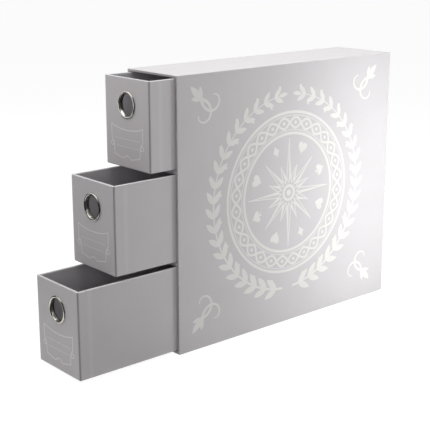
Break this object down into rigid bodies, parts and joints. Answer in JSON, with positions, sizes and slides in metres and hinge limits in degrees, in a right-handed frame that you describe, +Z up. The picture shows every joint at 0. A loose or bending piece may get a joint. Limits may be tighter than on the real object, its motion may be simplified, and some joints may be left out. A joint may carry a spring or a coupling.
{
  "type": "trading card drawer box",
  "caption": "Tall narrow wrapped-board storage case with open-topped sliding drawers stacked one above the other, each pulled by a finger eyelet in its front.",
  "frame": {"origin": "middle of the case's footprint, on the surface it stands on", "axes": "+Z up, -Y the way the drawers open, +X the case's right side seen from the front"},
  "size_m": [0.0896, 0.4844, 0.32],
  "materials": {
    "silver_paper": "pearl silver wrap, soft sheen",
    "dark_paper": "matt dark grey lining",
    "greyboard": "raw grey board",
    "nickel": "polished nickel plate"
  },
  "bodies": {
    "case": {"case_left_board": "greyboard", "case_right_board": "greyboard", "case_top_board": "greyboard", "case_bottom_board": "greyboard", "case_back_board": "greyboard", "case_cover_paper": "silver_paper", "case_base_paper": "silver_paper", "case_back_paper": "silver_paper", "case_floor_lining": "dark_paper", "case_ceiling_lining": "dark_paper", "bay_lower_lining": "dark_paper", "bay_middle_lining": "dark_paper", "bay_upper_lining": "dark_paper", "shelf_lower_board": "greyboard", "shelf_lower_wrap": "dark_paper", "shelf_upper_board": "greyboard", "shelf_upper_wrap": "dark_paper"},
    "drawer_lower": {"drawer_lower_front_board": "greyboard", "drawer_lower_back_board": "greyboard", "drawer_lower_left_board": "greyboard", "drawer_lower_right_board": "greyboard", "drawer_lower_bottom_board": "greyboard", "drawer_lower_cover_paper": "silver_paper", "drawer_lower_lining": "dark_paper", "drawer_lower_eyelet_ring": "nickel", "drawer_lower_eyelet_washer": "nickel"},
    "drawer_middle": {"drawer_middle_front_board": "greyboard", "drawer_middle_back_board": "greyboard", "drawer_middle_left_board": "greyboard", "drawer_middle_right_board": "greyboard", "drawer_middle_bottom_board": "greyboard", "drawer_middle_cover_paper": "silver_paper", "drawer_middle_lining": "dark_paper", "drawer_middle_eyelet_ring": "nickel", "drawer_middle_eyelet_washer": "nickel"},
    "drawer_upper": {"drawer_upper_front_board": "greyboard", "drawer_upper_back_board": "greyboard", "drawer_upper_left_board": "greyboard", "drawer_upper_right_board": "greyboard", "drawer_upper_bottom_board": "greyboard", "drawer_upper_cover_paper": "silver_paper", "drawer_upper_lining": "dark_paper", "drawer_upper_eyelet_ring": "nickel", "drawer_upper_eyelet_washer": "nickel"}
  },
  "joints": [
    {"name": "drawer_upper_slide", "type": "slide", "parent": "case", "child": "drawer_upper", "axis": [0, -1, 0], "range_m": [-0.0345, 0.2555]},
    {"name": "drawer_middle_slide", "type": "slide", "parent": "case", "child": "drawer_middle", "axis": [0, -1, 0], "range_m": [-0.083, 0.207]},
    {"name": "drawer_lower_slide", "type": "slide", "parent": "case", "child": "drawer_lower", "axis": [0, -1, 0], "range_m": [-0.1325, 0.1575]}
  ]
}
